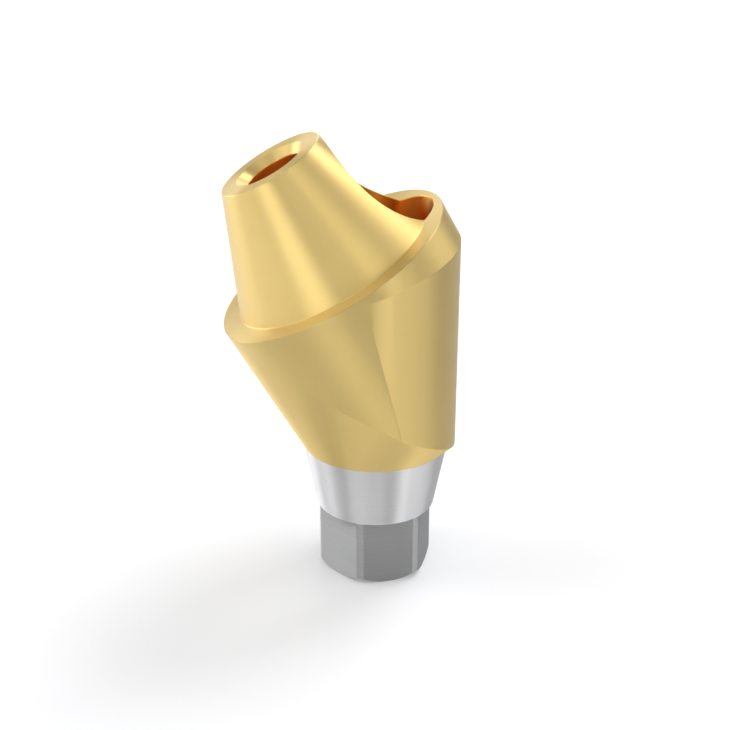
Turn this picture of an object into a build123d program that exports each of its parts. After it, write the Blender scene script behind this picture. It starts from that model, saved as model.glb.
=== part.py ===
from build123d import *
from math import cos, radians, sin, tan
import os

# Angled multi-unit dental abutment, machined from one titanium bar, in millimetres.
# The implant axis is +Z, the origin is the centre of the hexagon's end face,
# and the prosthetic head leans towards -X, over a corner of the hexagon.

# Implant connection
hex_across_flats = 2.10
hex_corner_diameter = 2.35
hex_length = 1.40
hex_end_chamfer = 0.12
seal_cone_top_diameter = 2.92
seal_cone_half_angle = 11.0
seal_cone_length = 1.31

# Body between the connection and the head
head_tilt = 30.0
tilt_pivot_height = 4.99
platform_diameter = 4.80
platform_distance = 1.80
heel_wall_diameter = 4.80
heel_wall_offset = 0.83
heel_height = 2.78
collar_land = 0.08
underside_corner_azimuth = 107.0

# Prosthetic head
post_base_diameter = 4.04
post_top_diameter = 2.05
post_height = 2.24
thread_core_diameter = 1.10
thread_countersink_diameter = 1.42
thread_countersink_depth = 0.16
thread_hole_depth = 2.30
drill_point_half_angle = 59.0

# Channel of the screw that holds the abutment on the implant
channel_diameter = 2.15
channel_floor_height = 3.07
screw_seat_half_angle = 45.0
screw_hole_diameter = 1.65

# Length of the raw stock and cutters, longer than anything that they shape
stock_length = 30.0

platform_radius = platform_diameter / 2
post_base_radius = post_base_diameter / 2
heel_wall_radius = heel_wall_diameter / 2
seal_cone_top_radius = seal_cone_top_diameter / 2
seal_cone_top_height = hex_length + seal_cone_length


def tilted_axis_plane(distance):
    """Plane square to the head's axis, at a distance along it from the pivot."""
    lean = radians(head_tilt)
    origin = (-distance * sin(lean), 0, tilt_pivot_height + distance * cos(lean))
    return Plane(origin=origin, x_dir=(cos(lean), 0, sin(lean)), z_dir=(-sin(lean), 0, cos(lean)))


def underside_plane():
    """Sloping plane where the walls end, from just under the rim's lowest point to the heel."""
    under_rim = tilted_axis_plane(platform_distance - collar_land).from_local_coords((-platform_radius, 0, 0))
    heel = Vector(heel_wall_radius - heel_wall_offset, 0, heel_height)
    slope = (heel - under_rim).normalized()
    return Plane(origin=heel, x_dir=slope, z_dir=(-slope.Z, 0, slope.X))


def hexagon():
    """Anti-rotation hexagon with turned corners and a turned end chamfer."""
    prism = extrude(RegularPolygon(hex_across_flats / 2, 6, major_radius=False), hex_length)
    corner_radius = hex_corner_diameter / 2
    profile = Polyline(
        (0, 0),
        (corner_radius - hex_end_chamfer, 0),
        (corner_radius, hex_end_chamfer),
        (corner_radius, hex_length),
        (0, hex_length),
        close=True,
    )
    turned = revolve(Plane.XZ * make_face(profile), Axis.Z)
    return prism & turned


def seal_cone():
    """Self-locking cone that seals in the implant."""
    bottom_radius = seal_cone_top_radius - seal_cone_length * tan(radians(seal_cone_half_angle))
    middle = hex_length + seal_cone_length / 2
    return Pos(0, 0, middle) * Cone(bottom_radius, seal_cone_top_radius, seal_cone_length)


def walls():
    """Leaning collar cylinder, trimmed by the upright heel wall and the sloping underside."""
    collar = tilted_axis_plane(platform_distance) * Cylinder(
        platform_radius, stock_length, align=(Align.CENTER, Align.CENTER, Align.MAX)
    )
    heel_wall = Pos(-heel_wall_offset, 0, 0) * Cylinder(heel_wall_radius, stock_length)
    return split(collar & heel_wall, bisect_by=underside_plane(), keep=Keep.TOP)


def underside(wall_solid):
    """Flared underside, ruled from the end of the walls down to the top of the seal cone."""
    upper_face = wall_solid.faces().filter_by(underside_plane())[0]
    level = Plane.XY.offset(seal_cone_top_height)
    corner = underside_corner_azimuth
    toward_heel = CenterArc((0, 0), seal_cone_top_radius, -corner, 2 * corner)
    toward_head = CenterArc((0, 0), seal_cone_top_radius, corner, 360 - 2 * corner)
    lower_face = level * make_face([toward_heel, toward_head])
    return loft([lower_face, upper_face], ruled=True)


def post():
    """Tapered post that the bridge cylinder sits over."""
    base = tilted_axis_plane(platform_distance)
    align = (Align.CENTER, Align.CENTER, Align.MIN)
    return base * Cone(post_base_radius, post_top_diameter / 2, post_height, align=align)


def thread_hole():
    """Countersunk core hole for the prosthetic screw, along the head's axis."""
    core_radius = thread_core_diameter / 2
    mouth_radius = thread_countersink_diameter / 2
    point_height = core_radius / tan(radians(drill_point_half_angle))
    profile = Polyline(
        (0, 0),
        (mouth_radius, 0),
        (core_radius, -thread_countersink_depth),
        (core_radius, -thread_hole_depth),
        (0, -thread_hole_depth - point_height),
        close=True,
    )
    drilled = revolve(Plane.XZ * make_face(profile), Axis.Z)
    return tilted_axis_plane(platform_distance + post_height) * drilled


def screw_channel():
    """Channel for the screw head, its conical seat and the shank hole below."""
    step = (channel_diameter - screw_hole_diameter) / 2
    seat_height = step / tan(radians(screw_seat_half_angle))
    profile = Polyline(
        (0, -stock_length),
        (screw_hole_diameter / 2, -stock_length),
        (screw_hole_diameter / 2, channel_floor_height - seat_height),
        (channel_diameter / 2, channel_floor_height),
        (channel_diameter / 2, stock_length),
        (0, stock_length),
        close=True,
    )
    return revolve(Plane.XZ * make_face(profile), Axis.Z)


def abutment_body():
    """The whole abutment, one piece."""
    wall_solid = walls()
    outside = hexagon() + seal_cone() + underside(wall_solid) + wall_solid + post()
    return outside - screw_channel() - thread_hole()


os.makedirs("parts", exist_ok=True)
body = abutment_body()
body.label = "abutment_body"
export_step(body, "parts/abutment_body.step")
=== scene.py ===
from math import cos, hypot, pi, radians, sin, tan

import bmesh
import bpy
from bpy.props import FloatProperty, FloatVectorProperty, PointerProperty
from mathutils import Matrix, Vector


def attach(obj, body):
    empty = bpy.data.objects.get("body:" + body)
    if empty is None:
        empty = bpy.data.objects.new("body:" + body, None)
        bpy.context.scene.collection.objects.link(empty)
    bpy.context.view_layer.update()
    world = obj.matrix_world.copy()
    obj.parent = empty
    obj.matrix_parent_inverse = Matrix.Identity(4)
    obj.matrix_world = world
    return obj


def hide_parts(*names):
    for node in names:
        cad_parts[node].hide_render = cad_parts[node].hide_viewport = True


bl_info = {
    "name": "Angled dental abutment",
    "version": (1, 0, 0),
    "blender": (4, 5, 0),
    "location": "View3D > Sidebar > Abutment",
    "description": "One machined titanium abutment with a coated head, on a studio floor",
    "category": "Add Mesh",
}

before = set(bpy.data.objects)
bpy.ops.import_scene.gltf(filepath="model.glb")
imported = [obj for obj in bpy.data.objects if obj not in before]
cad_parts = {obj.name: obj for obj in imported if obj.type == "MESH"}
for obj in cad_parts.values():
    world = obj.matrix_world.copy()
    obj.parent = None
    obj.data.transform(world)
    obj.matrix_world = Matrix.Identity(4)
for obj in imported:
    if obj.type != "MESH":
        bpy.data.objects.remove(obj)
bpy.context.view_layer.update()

# The piece is modelled in millimetres, as a machinist's drawing gives it,
# and brought to metres last
PER_METRE = 1000
ANGLES = ("head_lean", "seal_angle", "underside_corner", "drill_point")
UPRIGHT = ((0, 0, 0), Vector((0, 0, 1)))

# Corners this near each other are welded, corners this near a cutting plane lie on it,
# and a place this near a wall belongs to it
WELD = 0.0005
CUT = WELD / 10
NEAR = 0.01
# Cosine above which a face counts as facing a direction
FACING = 0.9
# Size of the plane that is merged into a single corner, to start a profile or a ring from
DOT = 0.01
STOCK_DEPTH = 7
BODY_SIDES = 256
CHANNEL_SIDES = 160
THREAD_STEPS = 96
UNDERSIDE_CUTS = 11
THREAD_FLANK = radians(30)
SHARP = radians(20)
SMOOTH = radians(6)

# Cutter marks: the depth of a ring, the length over which it changes as it goes round, and the
# size of the clouds in the colour. The rings of a real cutter are about 0.01 mm apart, which is
# too fine to show, so the finishes draw them three to four times as far apart.
RING_DEPTH = 0.0001
RING_LENGTH = 9
CLOUD_SIZE = 1.5

# Studio, in metres and degrees
FLOOR_SIZE = 8
FLOOR_GLOW = 0.08
WORLD_STRENGTH = 0.1
PIECE_MIDDLE = Vector((0, 0, 0.0045))
CAMERA_AZIMUTH = -104.9
CAMERA_PLACE = (-0.005288, -0.019848, 0.012362)
CAMERA_VIEW = Vector((0.23033, 0.90286, -0.36303))
CAMERA_LENS = 54.47
CAMERA_REACH = (0.001, 10)
SOFTBOX_DISTANCE = 1.2
# Rings of softboxes: elevation, width and height, and the radiance at each azimuth from the camera
SOFTBOX_RINGS = (
    (9, 30, 18, {180: 1.2, -150: 1.0, -120: 3.9, -90: 0.95, -60: 0.7, -30: 3.6, 0: 0.85, 60: 1.7}),
    (9, 18, 18, {44: 3.4}),
    (30, 30, 24, {180: 2.1, -150: 0.5, -90: 2.5, 0: 1.0, 30: 0.7, 60: 1.4, 90: 2.3, 150: 0.4}),
    (55, 45, 26, {-135: 0.6, -90: 2.0, 0: 1.1, 135: 5.9}),
    (78, 90, 20, {-90: 0.5, 0: 0.6, 90: 0.6}),
)


def linear(hex_colour):
    """The linear colour of an sRGB hex value."""
    channels = [int(hex_colour[i : i + 2], 16) / 255 for i in (1, 3, 5)]
    return [c / 12.92 if c <= 0.04045 else ((c + 0.055) / 1.055) ** 2.4 for c in channels] + [1]


def length(name, metres, description):
    """A length that a user may change, in metres."""
    return FloatProperty(
        name=name,
        description=description,
        default=metres,
        min=0.00001,
        precision=5,
        unit="LENGTH",
        subtype="DISTANCE",
    )


def angle(name, degrees, description):
    """An angle that a user may change."""
    return FloatProperty(
        name=name,
        description=description,
        default=radians(degrees),
        unit="ROTATION",
        subtype="ANGLE",
    )


def colour(name, hex_colour, description):
    """A colour that a user may change."""
    return FloatVectorProperty(
        name=name,
        description=description,
        size=4,
        subtype="COLOR",
        default=linear(hex_colour),
    )


class AbutmentSizes(bpy.types.PropertyGroup):
    hexagon_flats: length("Hexagon flats", 0.00210, "Width of the hexagon across its flats")
    hexagon_corners: length(
        "Hexagon corners", 0.00235, "Diameter that the hexagon's corners are turned to"
    )
    hexagon_length: length("Hexagon length", 0.00140, "Length of the hexagon below the seal cone")
    hexagon_chamfer: length("Hexagon chamfer", 0.00012, "Turned chamfer on the hexagon's end")
    seal_top: length("Seal cone top", 0.00292, "Diameter of the seal cone at its top")
    seal_length: length("Seal cone length", 0.00131, "Length of the seal cone")
    body_diameter: length(
        "Body diameter", 0.00480, "Diameter of the leaning collar and of the upright heel wall"
    )
    pivot_height: length(
        "Pivot height", 0.00499, "Height at which the head's axis leaves the implant's axis"
    )
    platform_distance: length(
        "Platform distance", 0.00180, "Distance of the platform from the pivot, along the head's axis"
    )
    heel_offset: length(
        "Heel offset", 0.00083, "Distance of the heel wall's axis from the implant's axis"
    )
    heel_height: length("Heel height", 0.00278, "Height of the heel wall's lower edge")
    collar_land: length("Collar land", 0.00008, "Height of the collar at the rim's lowest point")
    post_base: length("Post base", 0.00404, "Diameter of the post at the platform")
    post_top: length("Post top", 0.00205, "Diameter of the post at its top")
    post_height: length("Post height", 0.00224, "Height of the post above the platform")
    channel_diameter: length("Channel diameter", 0.00215, "Diameter of the screw channel")
    channel_floor: length("Channel floor", 0.00307, "Height at which the screw seat starts")
    screw_hole: length("Screw hole", 0.00165, "Diameter of the hole for the screw's shank")
    thread_major: length("Thread diameter", 0.00140, "Outer diameter of the prosthetic thread")
    thread_core: length("Thread core", 0.00110, "Diameter of the prosthetic thread's core hole")
    thread_pitch: length("Thread pitch", 0.00030, "Pitch of the prosthetic thread")
    thread_depth: length("Thread depth", 0.00230, "Depth of the prosthetic thread's core hole")
    thread_start: length(
        "Thread start", 0.00075, "Depth at which the thread starts, below a plain lead-in"
    )
    countersink: length("Countersink", 0.00142, "Diameter of the thread hole's countersink")
    countersink_depth: length(
        "Countersink depth", 0.00016, "Depth of the thread hole's countersink"
    )
    edge_break: length("Edge break", 0.00002, "Width of the broken edges")
    head_lean: angle("Head lean", 30, "Lean of the head's axis")
    seal_angle: angle("Seal cone angle", 11, "Angle of the seal cone's side to its axis")
    drill_point: angle("Drill point", 59, "Angle of the drill point's side to its axis")
    underside_corner: angle(
        "Underside corner", 107, "Azimuth at which the underside's two halves meet on the seal cone"
    )


class AbutmentFinish(bpy.types.PropertyGroup):
    coating: colour("Coating", "#D8C07D", "Colour of the coating on the walls")
    # The head's coating is painted lighter than the same coating on the walls: a painted highlight
    head_coating_painted_highlight: colour("Head coating", "#E1C881", "Colour of the coating on the head")
    # The channel's bright amber is a painted reflection of light bounced between the gold walls
    bore_coating_painted_reflection: colour("Bore coating", "#FBBF5A", "Colour of the coating in the channel")
    # The thread hole's deeper, browner amber is painted shade and a painted reflection of light
    # bounced between the gold walls
    hole_coating_painted_shade_and_reflection: colour("Hole coating", "#E8963C", "Colour of the coating in the thread hole")
    bare_metal: colour("Turned titanium", "#E3E2E2", "Colour of the seal cone")
    # The hexagon's darker grey than the seal cone's same titanium is painted shade, standing in for a
    # dark reflection
    milled_metal_painted_shade: colour("Milled titanium", "#C0C0C0", "Colour of the hexagon")
    floor: colour("Floor", "#F3F4F7", "Colour of the studio floor")


def set_edit(on):
    bpy.ops.object.mode_set(mode="EDIT" if on else "OBJECT")


def apply_place():
    bpy.ops.object.transform_apply(location=True, rotation=True, scale=True)


def pick_object(piece):
    """Makes the piece the only selected object, and the active one."""
    bpy.ops.object.select_all(action="DESELECT")
    piece.select_set(True)
    bpy.context.view_layer.objects.active = piece


def start_object(name, add, **settings):
    """Adds a primitive by itself, applies its place and names it."""
    bpy.ops.object.select_all(action="DESELECT")
    add(**settings)
    apply_place()
    piece = bpy.context.object
    piece.name = name
    return piece


def select(kind, wanted):
    """Selects the edited piece's vertices, edges or faces that suit."""
    bpy.ops.mesh.select_mode(type=kind)
    bpy.ops.mesh.select_all(action="DESELECT")
    mesh = bpy.context.object.data
    shape = bmesh.from_edit_mesh(mesh)
    for item in {"VERT": shape.verts, "EDGE": shape.edges, "FACE": shape.faces}[kind]:
        if wanted(item):
            item.select_set(True)
    shape.select_flush_mode()
    bmesh.update_edit_mesh(mesh)


def extrude(offset):
    bpy.ops.mesh.extrude_region_move(TRANSFORM_OT_translate={"value": offset})


def cut_all(point, normal, **settings):
    """Cuts the whole edited piece with a plane."""
    bpy.ops.mesh.select_all(action="SELECT")
    bpy.ops.mesh.bisect(plane_co=point, plane_no=normal, **settings)


def turn_faces_outwards():
    bpy.ops.mesh.select_all(action="SELECT")
    bpy.ops.mesh.normals_make_consistent(inside=False)


def middle(item):
    """Middle of an edge's or a face's corners."""
    return sum((v.co for v in item.verts), Vector()) / len(item.verts)


def apply_modifier(piece, kind, **settings):
    bpy.context.view_layer.objects.active = piece
    modifier = piece.modifiers.new(kind.title(), kind)
    for setting, value in settings.items():
        setattr(modifier, setting, value)
    bpy.ops.object.modifier_apply(modifier=modifier.name)


def boolean(piece, tool, operation):
    """Joins the tool to the piece or cuts the piece with it, and deletes the tool."""
    apply_modifier(piece, "BOOLEAN", object=tool, operation=operation, solver="EXACT")
    bpy.data.objects.remove(tool)


class Layout:
    """The abutment's planes and points, in millimetres."""

    def __init__(self, sizes):
        for name in sizes.bl_rna.properties.keys():
            if name not in ("rna_type", "name"):
                value = getattr(sizes, name)
                setattr(self, name, value if name in ANGLES else value * PER_METRE)
        lean = self.head_lean
        self.body_radius = self.body_diameter / 2
        self.seal_radius = self.seal_top / 2
        self.seal_height = self.hexagon_length + self.seal_length
        self.along = Vector((-sin(lean), 0, cos(lean)))
        self.across = Vector((cos(lean), 0, sin(lean)))
        self.top = self.on_head_axis(self.platform_distance + self.post_height)
        # The collar and the heel wall are equally wide, so they meet in two planes
        # through this point
        self.mitre = self.on_head_axis(self.heel_offset / sin(lean))
        self.upper_mitre = Vector((-sin(lean / 2), 0, cos(lean / 2)))
        self.lower_mitre = Vector((cos(lean / 2), 0, sin(lean / 2)))
        # The underside starts in a plane from just under the rim's lowest point to the heel
        land = self.on_head_axis(self.platform_distance - self.collar_land)
        rim = land - self.across * self.body_radius
        self.heel = Vector((self.body_radius - self.heel_offset, 0, self.heel_height))
        slope = (self.heel - rim).normalized()
        self.underside = Vector((-slope.z, 0, slope.x))

    def on_head_axis(self, distance):
        """Point on the head's axis, at a distance from the pivot."""
        return Vector((0, 0, self.pivot_height)) + self.along * distance

    def from_post_top(self, place):
        """Depth of a place below the post's top, and its distance from the head's axis."""
        to_top = self.top - place
        below = to_top.dot(self.along)
        return below, (to_top - self.along * below).length

    def between_mitres(self, place):
        """Whether a place is on the heel wall's side of both mitre planes."""
        from_mitre = place - self.mitre
        return from_mitre.dot(self.upper_mitre) < 0 and from_mitre.dot(self.lower_mitre) > 0


def model_walls(m):
    """Leaning collar and upright heel wall, mitred into each other like two lengths of tube."""
    collar = start_object(
        "abutment",
        bpy.ops.mesh.primitive_cylinder_add,
        vertices=BODY_SIDES,
        radius=m.body_radius,
        depth=STOCK_DEPTH,
        location=m.on_head_axis(m.platform_distance) - m.along * STOCK_DEPTH / 2,
        rotation=(0, -m.head_lean, 0),
    )

    def on_wall(face, side):
        upright = abs(face.normal.dot(m.along)) < FACING
        return upright and (middle(face) - m.mitre).dot(m.across) * side > 0

    set_edit(True)
    for side, plane in ((1, m.upper_mitre), (-1, m.lower_mitre)):
        select("FACE", lambda face: on_wall(face, side))
        bpy.ops.mesh.bisect(plane_co=m.mitre, plane_no=plane, threshold=WELD)
    select(
        "FACE",
        lambda face: face.normal.dot(m.along) < -FACING or m.between_mitres(middle(face)),
    )
    bpy.ops.mesh.delete(type="FACE")
    set_edit(False)
    heel_wall = start_object(
        "heel_wall",
        bpy.ops.mesh.primitive_cylinder_add,
        vertices=BODY_SIDES,
        radius=m.body_radius,
        depth=STOCK_DEPTH,
        end_fill_type="NOTHING",
        location=(-m.heel_offset, 0, m.mitre.z - STOCK_DEPTH / 4),
    )
    set_edit(True)
    cut_all(m.mitre, m.upper_mitre, threshold=WELD, clear_outer=True)
    cut_all(m.mitre, m.lower_mitre, threshold=WELD, clear_inner=True)
    set_edit(False)
    pick_object(collar)
    heel_wall.select_set(True)
    bpy.ops.object.join()
    set_edit(True)
    bpy.ops.mesh.select_all(action="SELECT")
    bpy.ops.mesh.remove_doubles(threshold=WELD)
    cut_all(m.heel, m.underside, threshold=CUT, clear_inner=True)
    return collar


def model_underside(m):
    """Flared underside, ruled from the walls' lower edge to the top of the seal cone."""
    shape = bmesh.from_edit_mesh(bpy.context.object.data)
    contour = [edge for edge in shape.edges if edge.is_boundary]
    heel_wall_axis = Vector((-m.heel_offset, 0))

    def on_heel_wall(edge):
        radii = [(v.co.xy - heel_wall_axis).length for v in edge.verts]
        on_wall = all(abs(radius - m.body_radius) < 4 * WELD for radius in radii)
        return on_wall and middle(edge).x > -m.heel_offset

    def on_ring(vertex):
        radius = hypot(vertex.co.x, vertex.co.y)
        return abs(vertex.co.z - m.seal_height) < WELD and abs(radius - m.seal_radius) < WELD

    heel_steps = sum(on_heel_wall(edge) for edge in contour)
    head_steps = len(contour) - heel_steps
    centre = (0, 0, m.seal_height)
    corner = m.underside_corner
    bpy.ops.mesh.select_all(action="DESELECT")
    bpy.ops.mesh.primitive_plane_add(
        size=DOT,
        location=(m.seal_radius * cos(corner), m.seal_radius * sin(corner), m.seal_height),
    )
    bpy.ops.mesh.select_mode(type="VERT")
    bpy.ops.mesh.merge(type="CENTER")
    for steps, sweep in ((heel_steps, 2 * corner), (head_steps, 2 * pi - 2 * corner)):
        bpy.ops.mesh.spin(steps=steps, angle=sweep, center=centre, axis=(0, 0, 1))
    select("VERT", on_ring)
    bpy.ops.mesh.remove_doubles(threshold=WELD)
    select("EDGE", lambda edge: edge.is_boundary or edge.is_wire)
    bpy.ops.mesh.bridge_edge_loops(
        type="SINGLE", number_cuts=UNDERSIDE_CUTS, interpolation="LINEAR"
    )
    select("EDGE", lambda edge: edge.is_boundary)


def model_seal_cone(m):
    """Extrudes the underside's ring down into the seal cone and closes its end."""
    bottom_radius = m.seal_radius - m.seal_length * tan(m.seal_angle)
    shrink = bottom_radius / m.seal_radius
    extrude((0, 0, -m.seal_length))
    bpy.ops.transform.resize(
        value=(shrink, shrink, 1), center_override=(0, 0, m.hexagon_length)
    )
    bpy.ops.mesh.edge_face_add()


def model_post(m):
    """Insets the platform and extrudes the tapered post from it."""

    def on_platform(face):
        return face.normal.dot(m.along) > FACING and face.calc_area() > m.body_radius**2

    select("FACE", on_platform)
    bpy.ops.mesh.inset(thickness=(m.body_diameter - m.post_base) / 2)
    extrude(m.along * m.post_height)
    taper = m.post_top / m.post_base
    bpy.ops.transform.resize(value=(taper, taper, taper), center_override=m.top)
    turn_faces_outwards()
    set_edit(False)


def model_hexagon(m):
    """Turned bar with a chamfered end, cut to six flats."""
    overlap = 0.1
    bar = start_object(
        "hexagon",
        bpy.ops.mesh.primitive_cylinder_add,
        vertices=BODY_SIDES,
        radius=m.hexagon_corners / 2,
        depth=m.hexagon_length + overlap,
        location=(0, 0, (m.hexagon_length + overlap) / 2),
    )
    set_edit(True)
    select("FACE", lambda face: face.normal.z < -FACING)
    bpy.ops.mesh.bevel(offset=m.hexagon_chamfer, segments=1, affect="EDGES")
    for side in range(6):
        turn = radians(30 + 60 * side)
        outward = Vector((cos(turn), sin(turn), 0))
        flat = outward * m.hexagon_flats / 2
        cut_all(flat, outward, threshold=CUT, clear_outer=True, use_fill=True)
    turn_faces_outwards()
    set_edit(False)
    return bar


def model_channel_cutter(m):
    """Stepped cutter for the screw's shank hole, seat and channel."""
    below, above = 1, 8
    step = (m.channel_diameter - m.screw_hole) / 2
    seat = m.channel_floor - step
    cutter = start_object(
        "channel_cutter",
        bpy.ops.mesh.primitive_cylinder_add,
        vertices=CHANNEL_SIDES,
        radius=m.screw_hole / 2,
        depth=seat + below,
        location=(0, 0, (seat - below) / 2),
    )
    set_edit(True)
    select("FACE", lambda face: face.normal.z > FACING)
    extrude((0, 0, step))
    widen = m.channel_diameter / m.screw_hole
    bpy.ops.transform.resize(value=(widen, widen, 1), center_override=(0, 0, m.channel_floor))
    extrude((0, 0, above))
    set_edit(False)
    return cutter


def model_drill(m):
    """Countersinking drill for the core hole, upright and with the post's top at height 0."""
    above = 0.2
    core = m.thread_core / 2
    depth = m.thread_depth - m.countersink_depth
    drill = start_object(
        "drill",
        bpy.ops.mesh.primitive_cylinder_add,
        vertices=THREAD_STEPS,
        radius=core,
        depth=depth,
        location=(0, 0, -m.countersink_depth - depth / 2),
    )
    set_edit(True)
    select("FACE", lambda face: face.normal.z > FACING)
    extrude((0, 0, m.countersink_depth + above))
    slope = (m.countersink - m.thread_core) / 2 / m.countersink_depth
    widen = 1 + (m.countersink_depth + above) * slope / core
    bpy.ops.transform.resize(value=(widen, widen, 1), center_override=(0, 0, above))
    select("FACE", lambda face: face.normal.z < -FACING)
    extrude((0, 0, -core / tan(m.drill_point)))
    bpy.ops.mesh.merge(type="CENTER")
    set_edit(False)
    place_on_post(drill, m)
    return drill


def model_tap(m):
    """Tap for the prosthetic thread: a profile of one pitch, screwed up, with square ends."""
    overlap = 0.02
    crest = m.thread_major / 2
    root = m.thread_core / 2 - overlap
    depth = crest - root
    pitch = m.thread_pitch
    first, last = -m.thread_start, -m.thread_depth + pitch
    low = last - 2 * pitch
    tap = start_object("tap", bpy.ops.mesh.primitive_plane_add, size=DOT, location=(root, 0, low))
    set_edit(True)
    bpy.ops.mesh.select_mode(type="VERT")
    bpy.ops.mesh.merge(type="CENTER")
    flank = depth * tan(THREAD_FLANK)
    flat = (pitch - 2 * flank) / 2
    for move in ((depth, 0, flank), (0, 0, flat), (-depth, 0, flank), (0, 0, flat)):
        extrude(move)
    set_edit(False)
    apply_modifier(
        tap,
        "SCREW",
        angle=2 * pi,
        screw_offset=pitch,
        iterations=round((first - low) / pitch) + 2,
        steps=THREAD_STEPS,
        render_steps=THREAD_STEPS,
    )
    set_edit(True)
    bpy.ops.mesh.select_all(action="SELECT")
    bpy.ops.mesh.remove_doubles(threshold=WELD)
    for height, outward in ((first, 1), (last, -1)):
        cut_all((0, 0, height), (0, 0, outward), threshold=CUT, clear_outer=True, use_fill=True)
    turn_faces_outwards()
    set_edit(False)
    place_on_post(tap, m)
    return tap


def place_on_post(tool, m):
    """Leans a tool that was modelled upright and sets it on the middle of the post's top."""
    tool.rotation_euler = (0, -m.head_lean, 0)
    tool.location = m.top
    pick_object(tool)
    apply_place()


def break_edges(piece, m):
    """Breaks the sharp edges that deburring reaches, and keeps the faces beside them true."""

    def in_thread(place):
        below, aside = m.from_post_top(place)
        in_depth = m.thread_start - NEAR < below < m.thread_depth + m.thread_pitch
        return in_depth and aside < m.thread_major / 2 + NEAR

    def on_seam(place):
        on_seal_top = abs(place.z - m.seal_height) < m.edge_break
        return on_seal_top or place.z < m.hexagon_chamfer + m.edge_break

    def to_break(edge):
        sharp = edge.is_manifold and edge.calc_face_angle() > SHARP
        return sharp and not in_thread(middle(edge)) and not on_seam(middle(edge))

    pick_object(piece)
    set_edit(True)
    select("VERT", lambda vertex: not in_thread(vertex.co))
    bpy.ops.mesh.remove_doubles(threshold=m.edge_break / 4)
    select("EDGE", to_break)
    bpy.ops.transform.edge_bevelweight(value=1)
    set_edit(False)
    bpy.ops.object.shade_smooth_by_angle(angle=SMOOTH)
    apply_modifier(
        piece,
        "BEVEL",
        width=m.edge_break,
        segments=2,
        limit_method="WEIGHT",
        use_clamp_overlap=False,
        harden_normals=True,
    )


def finish_of(place, normal, m):
    """The finish of a face with this middle and normal."""
    # Margins of the hexagon and the collar, and the share of a normal that faces the channel
    hexagon_margin, collar_margin, inwards = 0.15, 0.05, 0.3
    below, from_head_axis = m.from_post_top(place)
    from_upright_axis = place.xy.length
    channel_radius = m.channel_diameter / 2
    if place.z < m.seal_height - WELD:
        outside = from_upright_axis > channel_radius - hexagon_margin
        on_hexagon = outside and place.z < m.hexagon_length - m.edge_break
        return milled_hexagon if on_hexagon else turned_connection
    faces_axis = place.xy.dot(normal.xy) < -inwards * from_upright_axis
    if from_upright_axis < channel_radius + NEAR and faces_axis:
        return coated_channel
    if (place - m.heel).dot(m.underside) < 0 or m.between_mitres(place):
        return coated_heel
    if from_head_axis > m.body_radius - collar_margin:
        return coated_collar
    if from_head_axis < m.thread_major / 2 + NEAR and below > m.countersink_depth:
        return coated_thread_hole
    return coated_head


class AddAbutment(bpy.types.Operator):
    """Model the machined abutment, with its coated head and bare connection"""

    bl_idname = "mesh.dental_abutment_add"
    bl_label = "Abutment"

    def execute(self, context):
        m = Layout(context.scene.abutment_sizes)
        piece = model_walls(m)
        model_underside(m)
        model_seal_cone(m)
        model_post(m)
        boolean(piece, model_hexagon(m), "UNION")
        boolean(piece, model_channel_cutter(m), "DIFFERENCE")
        boolean(piece, model_drill(m), "DIFFERENCE")
        boolean(piece, model_tap(m), "DIFFERENCE")
        break_edges(piece, m)
        piece.data.materials.clear()
        for finish in FINISHES:
            piece.data.materials.append(finish(context.scene.abutment_finish, m))
        for face in piece.data.polygons:
            face.material_index = FINISHES.index(finish_of(face.center, face.normal, m))
        bpy.ops.transform.resize(value=(1 / PER_METRE,) * 3, center_override=(0, 0, 0))
        apply_place()
        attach(piece, "root")
        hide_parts("abutment_body")
        return {"FINISHED"}


def add_node(material, kind, settings=(), inputs=()):
    """Adds a node, sets its properties, and sets or links its inputs."""
    tree = material.node_tree
    node = tree.nodes.new(kind)
    for key, value in dict(settings).items():
        setattr(node, key, value)
    for key, value in dict(inputs).items():
        if isinstance(value, bpy.types.NodeSocket):
            tree.links.new(value, node.inputs[key])
        else:
            node.inputs[key].default_value = value
    return node


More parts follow.
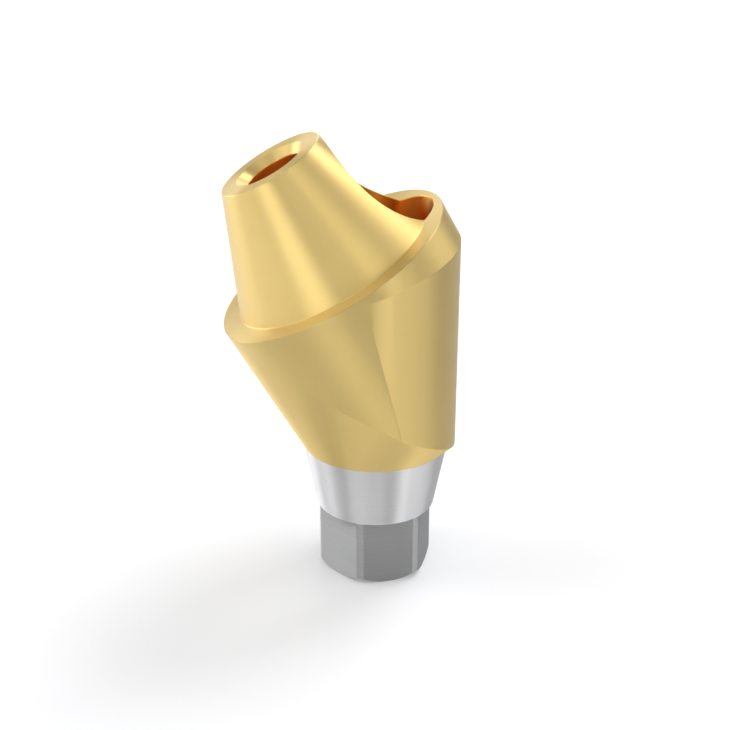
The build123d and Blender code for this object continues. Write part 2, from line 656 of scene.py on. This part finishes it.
def machined_metal(name, colours, roughness, anisotropy, axis, spacing, spread):
    """Metal with the fine rings that a cutter leaves as it goes round an axis.

    The axis is a point in millimetres and a direction. The rings are a spacing in millimetres
    apart, and the spread is the share of the roughness by which they differ.
    """
    point, direction = axis
    material = bpy.data.materials.new(name)
    material.use_nodes = True
    shader = material.node_tree.nodes["Principled BSDF"]

    def vector_maths(operation, inputs, output="Vector"):
        settings = {"operation": operation}
        return add_node(material, "ShaderNodeVectorMath", settings, inputs).outputs[output]

    def noise(inputs):
        return add_node(material, "ShaderNodeTexNoise", (), inputs).outputs["Fac"]

    place = add_node(material, "ShaderNodeTexCoord").outputs["Object"]
    from_axis = vector_maths("SUBTRACT", {0: place, 1: Vector(point) / PER_METRE})
    height = vector_maths("DOT_PRODUCT", {0: from_axis, 1: direction}, "Value")
    # Rings: close together along the axis, and slow to change round it
    stretched = vector_maths("SCALE", {0: direction, "Scale": height})
    round_axis = vector_maths("SCALE", {0: from_axis, "Scale": PER_METRE / RING_LENGTH})
    rings_place = vector_maths(
        "MULTIPLY_ADD", {0: stretched, 1: (PER_METRE / spacing,) * 3, 2: round_axis}
    )
    rings = noise({"Vector": rings_place, "Scale": 1, "Detail": 0})
    cloud = noise(
        {"Vector": place, "Scale": PER_METRE / CLOUD_SIZE, "Detail": 4, "Roughness": 0.55}
    )
    mottled = add_node(
        material,
        "ShaderNodeMix",
        {"data_type": "RGBA"},
        {"Factor": cloud, "A": colours[0], "B": colours[1]},
    ).outputs["Result"]
    polish = add_node(
        material,
        "ShaderNodeMapRange",
        (),
        {
            "Value": rings,
            "From Min": 0.3,
            "From Max": 0.7,
            "To Min": roughness * (1 - spread),
            "To Max": roughness * (1 + spread),
        },
    ).outputs["Result"]
    bump = add_node(
        material,
        "ShaderNodeBump",
        (),
        {"Height": rings, "Strength": 1, "Distance": RING_DEPTH / PER_METRE},
    ).outputs["Normal"]
    groove = vector_maths("CROSS_PRODUCT", {0: direction, 1: from_axis})
    tangent = vector_maths("NORMALIZE", {0: groove})
    links = material.node_tree.links
    links.new(mottled, shader.inputs["Base Color"])
    links.new(polish, shader.inputs["Roughness"])
    links.new(bump, shader.inputs["Normal"])
    links.new(tangent, shader.inputs["Tangent"])
    shader.inputs["Metallic"].default_value = 1
    shader.inputs["Anisotropic"].default_value = anisotropy
    # A quarter turn: light stretches across the rings, not along them
    shader.inputs["Anisotropic Rotation"].default_value = 0.25
    return material


def coated_head(finish, m):
    """Titanium nitride over turned metal: satin gold, painted lighter than the same coating on the
    walls as a painted highlight, with the light in bands along the cone.
    """
    return machined_metal(
        "titanium_nitride_on_turned_titanium",
        (finish.head_coating_painted_highlight, linear("#DCC07D")),
        roughness=0.44,
        anisotropy=0.8,
        axis=(m.on_head_axis(0), m.along),
        spacing=0.04,
        spread=0.02,
    )


def coated_collar(finish, m):
    """Titanium nitride over a rougher turned wall: the light runs the wall's whole length."""
    return machined_metal(
        "titanium_nitride_on_turned_collar",
        (finish.coating, linear("#D3B97A")),
        roughness=0.5,
        anisotropy=0.95,
        axis=(m.on_head_axis(0), m.along),
        spacing=0.04,
        spread=0.02,
    )


def coated_heel(finish, m):
    """Titanium nitride over metal milled round the upright axis: upright bands of light."""
    return machined_metal(
        "titanium_nitride_on_milled_titanium",
        (finish.coating, linear("#D3B97A")),
        roughness=0.5,
        anisotropy=0.95,
        axis=UPRIGHT,
        spacing=0.04,
        spread=0.02,
    )


def coated_channel(finish, m):
    """Titanium nitride in the reamed channel: a bright amber that is a painted reflection of light
    bounced between its gold walls, in upright stripes.
    """
    return machined_metal(
        "titanium_nitride_in_reamed_channel",
        (finish.bore_coating_painted_reflection, linear("#F5B24A")),
        roughness=0.3,
        anisotropy=0.9,
        axis=UPRIGHT,
        spacing=0.04,
        spread=0.03,
    )


def coated_thread_hole(finish, m):
    """Titanium nitride in the tapped hole: a deeper, browner amber than in the channel, which is
    painted shade and a painted reflection of light bounced between the gold walls.
    """
    return machined_metal(
        "titanium_nitride_in_tapped_hole",
        (finish.hole_coating_painted_shade_and_reflection, linear("#DE8C34")),
        roughness=0.4,
        anisotropy=0,
        axis=(m.on_head_axis(0), m.along),
        spacing=0.04,
        spread=0.05,
    )


def turned_connection(finish, m):
    """Bare turned titanium: cool grey, with the cutter's fine level lines."""
    return machined_metal(
        "bare_turned_titanium",
        (finish.bare_metal, linear("#D7D8DA")),
        roughness=0.55,
        anisotropy=1.0,
        axis=UPRIGHT,
        spacing=0.035,
        spread=0.1,
    )


def milled_hexagon(finish, m):
    """Bare milled titanium, brushed with level lines by the side of the cutter, and painted a darker
    grey than the seal cone: painted shade for a dark reflection.
    """
    return machined_metal(
        "bare_milled_titanium",
        (finish.milled_metal_painted_shade, linear("#AEAFB0")),
        roughness=0.55,
        anisotropy=1.0,
        axis=UPRIGHT,
        spacing=0.03,
        spread=0.1,
    )


FINISHES = (
    coated_head,
    coated_collar,
    coated_heel,
    coated_channel,
    turned_connection,
    milled_hexagon,
    coated_thread_hole,
)


def white_card(white):
    """Matt white card, a little brighter to the camera and in reflections than it is lit."""
    material = bpy.data.materials.new("matt_white_card")
    material.use_nodes = True
    shader = material.node_tree.nodes["Principled BSDF"]
    shader.inputs["Base Color"].default_value = white
    shader.inputs["Roughness"].default_value = 0.9
    shader.inputs["Specular IOR Level"].default_value = 0.2

    def maths(operation, first, second):
        settings, inputs = {"operation": operation}, {0: first, 1: second}
        return add_node(material, "ShaderNodeMath", settings, inputs).outputs[0]

    ray = add_node(material, "ShaderNodeLightPath").outputs
    direct = maths("MAXIMUM", ray["Is Camera Ray"], ray["Is Glossy Ray"])
    seen = maths("MAXIMUM", direct, ray["Is Transmission Ray"])
    glow = maths("MULTIPLY", seen, FLOOR_GLOW)
    material.node_tree.links.new(glow, shader.inputs["Emission Strength"])
    return material


def add_softbox(context, elevation, width, height, azimuth, radiance):
    """Softbox that faces the piece.

    Its place and size are angles as the piece sees it, its azimuth counted from the camera.
    """
    turn, rise = radians(azimuth + CAMERA_AZIMUTH), radians(elevation)
    outward = Vector((cos(turn) * cos(rise), sin(turn) * cos(rise), sin(rise)))
    data = bpy.data.lights.new("softbox", "AREA")
    data.shape = "RECTANGLE"
    data.size = 2 * SOFTBOX_DISTANCE * tan(radians(width / 2)) * cos(rise)
    data.size_y = 2 * SOFTBOX_DISTANCE * tan(radians(height / 2))
    data.energy = radiance * pi * data.size * data.size_y
    lamp = bpy.data.objects.new("softbox", data)
    lamp.location = PIECE_MIDDLE + outward * SOFTBOX_DISTANCE
    lamp.rotation_euler = outward.to_track_quat("Z", "Y").to_euler()
    lamp.visible_camera = False
    context.scene.collection.objects.link(lamp)


def add_world(context):
    """Faint, even light from all round."""
    world = bpy.data.worlds.new("studio")
    context.scene.world = world
    world.use_nodes = True
    background = world.node_tree.nodes["Background"]
    background.inputs["Color"].default_value = (1, 1, 1, 1)
    background.inputs["Strength"].default_value = WORLD_STRENGTH


def add_camera(context):
    """Camera at the photo's place and angle."""
    data = bpy.data.cameras.new("camera")
    data.lens = CAMERA_LENS
    data.clip_start, data.clip_end = CAMERA_REACH
    camera = bpy.data.objects.new("camera", data)
    camera.location = CAMERA_PLACE
    camera.rotation_euler = CAMERA_VIEW.to_track_quat("-Z", "Y").to_euler()
    context.scene.collection.objects.link(camera)
    context.scene.camera = camera


class AddStudio(bpy.types.Operator):
    """Add the floor, the lamps and the camera"""

    bl_idname = "scene.abutment_studio_add"
    bl_label = "Studio"

    def execute(self, context):
        floor = start_object("floor", bpy.ops.mesh.primitive_plane_add, size=FLOOR_SIZE)
        floor.data.materials.append(white_card(context.scene.abutment_finish.floor))
        add_world(context)
        for elevation, width, height, radiances in SOFTBOX_RINGS:
            for azimuth, radiance in radiances.items():
                add_softbox(context, elevation, width, height, azimuth, radiance)
        add_camera(context)
        context.scene.view_settings.view_transform = "Standard"
        return {"FINISHED"}


class ABUTMENT_PT_panel(bpy.types.Panel):
    """Buttons, sizes and colours in the 3D view's sidebar"""

    bl_label = "Dental abutment"
    bl_space_type = "VIEW_3D"
    bl_region_type = "UI"
    bl_category = "Abutment"

    def draw(self, context):
        for operator in (AddAbutment, AddStudio):
            self.layout.operator(operator.bl_idname)
        for group in (context.scene.abutment_sizes, context.scene.abutment_finish):
            for name in group.bl_rna.properties.keys():
                if name not in ("rna_type", "name"):
                    self.layout.prop(group, name)


CLASSES = (AbutmentSizes, AbutmentFinish, AddAbutment, AddStudio, ABUTMENT_PT_panel)


def register():
    for added in CLASSES:
        bpy.utils.register_class(added)
    bpy.types.Scene.abutment_sizes = PointerProperty(type=AbutmentSizes)
    bpy.types.Scene.abutment_finish = PointerProperty(type=AbutmentFinish)


def unregister():
    del bpy.types.Scene.abutment_finish
    del bpy.types.Scene.abutment_sizes
    for added in reversed(CLASSES):
        bpy.utils.unregister_class(added)


def main():
    register()
    bpy.ops.mesh.dental_abutment_add()
    bpy.ops.scene.abutment_studio_add()


if __name__ == "__main__":
    main()
